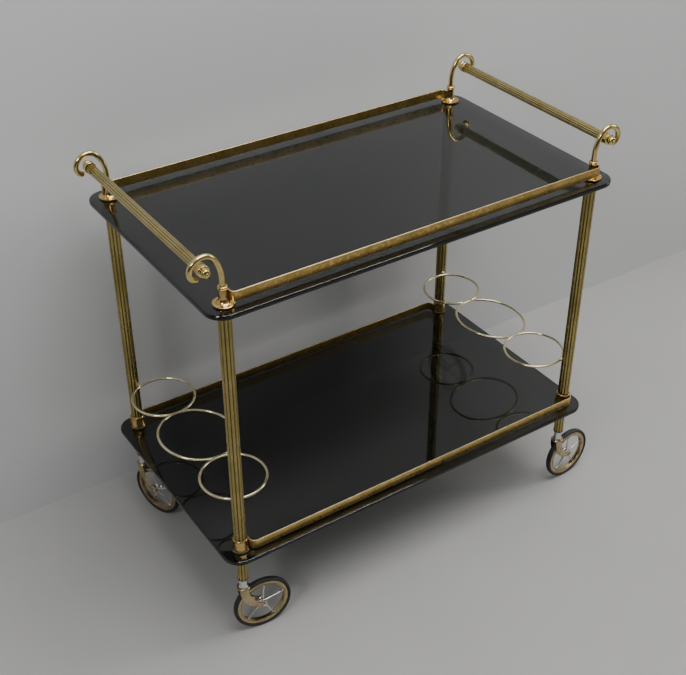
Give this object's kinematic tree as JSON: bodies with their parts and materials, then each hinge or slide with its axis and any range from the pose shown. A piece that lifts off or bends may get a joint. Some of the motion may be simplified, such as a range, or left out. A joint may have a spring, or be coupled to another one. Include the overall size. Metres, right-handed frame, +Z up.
{
  "type": "bar cart on wheels",
  "caption": "Two-tier bar cart with smoked glass shelves, reeded brass legs, gallery rails, scroll-bracket handles, bottle rings and swivel casters.",
  "frame": {"origin": "centre of the overall bounding box, on the floor under the wheels", "axes": "+X along the long side, +Y across the cart toward the back, +Z up; casters stored at the swivel angles they stood at"},
  "size_m": [0.8144, 0.4332, 0.7342],
  "materials": {
    "smoked_glass": "smoked grey float glass, polished edges",
    "satin_brass": "aged satin brass, reeded tube",
    "polished_brass": "polished brass, slightly worn",
    "strip_brass": "warm lacquered brass strip",
    "caster_brass": "brass-plated, rubbed",
    "chrome": "bright chrome",
    "steel": "plain steel rod",
    "black_rubber": "smooth black rubber"
  },
  "bodies": {
    "frame": {"bottle_rack_left": "polished_brass", "bottle_rack_right": "polished_brass", "caster_socket_bl": "chrome", "caster_socket_br": "chrome", "caster_socket_fl": "chrome", "caster_socket_fr": "chrome", "handle_bar_left": "satin_brass", "handle_bar_right": "satin_brass", "handle_finial_left_back": "polished_brass", "handle_finial_left_front": "polished_brass", "handle_finial_right_back": "polished_brass", "handle_finial_right_front": "polished_brass", "leg_stub_bl": "satin_brass", "leg_stub_br": "satin_brass", "leg_stub_fl": "satin_brass", "leg_stub_fr": "satin_brass", "leg_tube_bl": "satin_brass", "leg_tube_br": "satin_brass", "leg_tube_fl": "satin_brass", "leg_tube_fr": "satin_brass", "lower_collar_bl": "polished_brass", "lower_collar_br": "polished_brass", "lower_collar_fl": "polished_brass", "lower_collar_fr": "polished_brass", "lower_glass": "smoked_glass", "lower_rail_back": "strip_brass", "lower_rail_front": "strip_brass", "scroll_bracket_bl": "polished_brass", "scroll_bracket_br": "polished_brass", "scroll_bracket_fl": "polished_brass", "scroll_bracket_fr": "polished_brass", "tie_rod_bl": "steel", "tie_rod_br": "steel", "tie_rod_fl": "steel", "tie_rod_fr": "steel", "upper_collar_bl": "polished_brass", "upper_collar_br": "polished_brass", "upper_collar_fl": "polished_brass", "upper_collar_fr": "polished_brass", "upper_glass": "smoked_glass", "upper_rail_back": "strip_brass", "upper_rail_front": "strip_brass"},
    "caster_fl": {"caster_fork_fl": "caster_brass", "caster_axle_fl": "chrome"},
    "roller_fl": {"wheel_fl": "caster_brass", "tyre_fl": "black_rubber"},
    "caster_fr": {"caster_fork_fr": "caster_brass", "caster_axle_fr": "chrome"},
    "roller_fr": {"wheel_fr": "caster_brass", "tyre_fr": "black_rubber"},
    "caster_bl": {"caster_fork_bl": "caster_brass", "caster_axle_bl": "chrome"},
    "roller_bl": {"wheel_bl": "caster_brass", "tyre_bl": "black_rubber"},
    "caster_br": {"caster_fork_br": "caster_brass", "caster_axle_br": "chrome"},
    "roller_br": {"wheel_br": "caster_brass", "tyre_br": "black_rubber"}
  },
  "joints": [
    {"name": "swivel_fl", "type": "hinge", "parent": "frame", "child": "caster_fl", "pos_m": [-0.35536, -0.1866, 0.1], "axis": [0, 0, 1], "continuous": true},
    {"name": "roll_fl", "type": "hinge", "parent": "caster_fl", "child": "roller_fl", "pos_m": [-0.32392, -0.18979, 0.051], "axis": [0.1011, 0.9949, 0], "continuous": true},
    {"name": "swivel_fr", "type": "hinge", "parent": "frame", "child": "caster_fr", "pos_m": [0.32464, -0.1866, 0.1], "axis": [0, 0, 1], "continuous": true},
    {"name": "roll_fr", "type": "hinge", "parent": "caster_fr", "child": "roller_fr", "pos_m": [0.35616, -0.1844, 0.051], "axis": [-0.0698, 0.9976, 0], "continuous": true},
    {"name": "swivel_bl", "type": "hinge", "parent": "frame", "child": "caster_bl", "pos_m": [-0.35536, 0.1866, 0.1], "axis": [0, 0, 1], "continuous": true},
    {"name": "roll_bl", "type": "hinge", "parent": "caster_bl", "child": "roller_bl", "pos_m": [-0.34455, 0.15691, 0.051], "axis": [0.9397, 0.342, 0], "continuous": true},
    {"name": "swivel_br", "type": "hinge", "parent": "frame", "child": "caster_br", "pos_m": [0.32464, 0.1866, 0.1], "axis": [0, 0, 1], "continuous": true},
    {"name": "roll_br", "type": "hinge", "parent": "caster_br", "child": "roller_br", "pos_m": [0.33121, 0.15569, 0.051], "axis": [0.9781, 0.2079, 0], "continuous": true}
  ]
}
